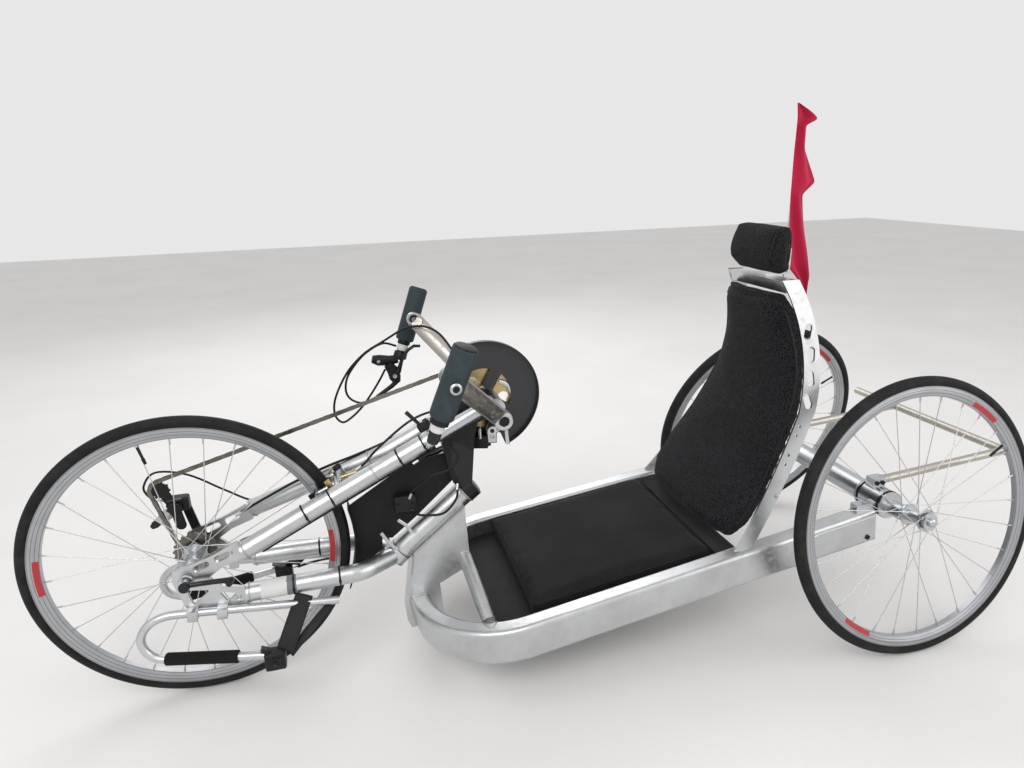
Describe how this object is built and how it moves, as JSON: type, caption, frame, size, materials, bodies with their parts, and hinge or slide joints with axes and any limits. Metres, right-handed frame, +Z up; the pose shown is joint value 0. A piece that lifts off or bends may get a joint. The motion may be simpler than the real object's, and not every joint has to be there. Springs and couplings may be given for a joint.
{
  "type": "recumbent handcycle",
  "caption": "Low recumbent handcycle: hand cranks drive and steer the front wheel, cambered rear wheels, reclined seat between flat side rails.",
  "frame": {"origin": "on the floor, below the middle of the length and width", "axes": "+X forward to the driven wheel, +Y to the rider's left, +Z up"},
  "size_m": [2.16, 0.7036, 1.147],
  "materials": {
    "black_plastic": "satin",
    "bright_alloy": "polished",
    "brushed_alloy": "brushed",
    "cable_black": "matte",
    "cushion_cover": "smooth",
    "drive_steel": "oiled",
    "flag_cloth": "matte",
    "foam": "foam",
    "grip_rubber": "matte",
    "mesh_cloth": "mesh",
    "pole_white": "gloss",
    "spoke_steel": "polished",
    "tyre": "matte"
  },
  "bodies": {
    "frame": {"axle_clamps": "brushed_alloy", "axle_stubs": "brushed_alloy", "axle_tube": "brushed_alloy", "back_cross_plate": "brushed_alloy", "back_pad": "mesh_cloth", "back_plates": "brushed_alloy", "bumper_bar": "brushed_alloy", "bumper_struts": "brushed_alloy", "flag": "flag_cloth", "flag_pole": "pole_white", "head_tube": "brushed_alloy", "headrest_bracket": "brushed_alloy", "headrest_pad": "mesh_cloth", "nose_box": "brushed_alloy", "nose_braces": "brushed_alloy", "rail_left": "brushed_alloy", "rail_right": "brushed_alloy", "seat_cushion": "cushion_cover", "seat_pan": "black_plastic", "seat_sling": "mesh_cloth"},
    "front_unit": {"boom": "brushed_alloy", "brake_caliper": "bright_alloy", "cable_box": "black_plastic", "chain": "drive_steel", "chain_guard": "black_plastic", "derailleurs": "black_plastic", "dropouts": "brushed_alloy", "foot_loops": "brushed_alloy", "foot_pads": "foam", "fork_cable": "cable_black", "front_axle": "brushed_alloy", "heel_straps": "mesh_cloth", "lower_fork": "brushed_alloy", "mast": "black_plastic", "release_lever": "black_plastic", "splash_guard": "black_plastic", "upper_fork": "brushed_alloy"},
    "front_wheel": {"cassette": "drive_steel", "front_hub": "bright_alloy", "front_rim": "bright_alloy", "front_spokes": "spoke_steel", "front_tyre": "tyre"},
    "rear_wheel_left": {"rear_hub_left": "bright_alloy", "rear_rim_left": "bright_alloy", "rear_spokes_left": "spoke_steel", "rear_tyre_left": "tyre"},
    "rear_wheel_right": {"rear_hub_right": "bright_alloy", "rear_rim_right": "bright_alloy", "rear_spokes_right": "spoke_steel", "rear_tyre_right": "tyre"},
    "crank": {"chainrings": "drive_steel", "crank_arms": "brushed_alloy", "crank_spindle": "brushed_alloy"},
    "grip_left": {"grip_left": "grip_rubber"},
    "grip_right": {"brake_lever": "black_plastic", "grip_right": "grip_rubber"}
  },
  "joints": [
    {"name": "steering", "type": "hinge", "parent": "frame", "child": "front_unit", "pos_m": [0.365, 0, 0.254], "axis": [-0.7793, 0, 0.6266], "range_deg": [-30, 30]},
    {"name": "front_wheel_spin", "type": "hinge", "parent": "front_unit", "child": "front_wheel", "pos_m": [0.775, 0, 0.305], "axis": [0, 1, 0], "continuous": true},
    {"name": "crank_turn", "type": "hinge", "parent": "front_unit", "child": "crank", "pos_m": [0.157, 0, 0.566], "axis": [0, 1, 0], "continuous": true},
    {"name": "grip_left_turn", "type": "hinge", "parent": "crank", "child": "grip_left", "pos_m": [0.27886, 0.277, 0.7052], "axis": [0, 1, 0], "continuous": true},
    {"name": "grip_right_turn", "type": "hinge", "parent": "crank", "child": "grip_right", "pos_m": [0.27886, -0.277, 0.7052], "axis": [0, 1, 0], "continuous": true},
    {"name": "rear_wheel_left_spin", "type": "hinge", "parent": "frame", "child": "rear_wheel_left", "pos_m": [-0.705, 0.287, 0.30029], "axis": [0, 0.9839, 0.1788], "continuous": true},
    {"name": "rear_wheel_right_spin", "type": "hinge", "parent": "frame", "child": "rear_wheel_right", "pos_m": [-0.705, -0.287, 0.30029], "axis": [0, 0.9839, -0.1788], "continuous": true}
  ]
}
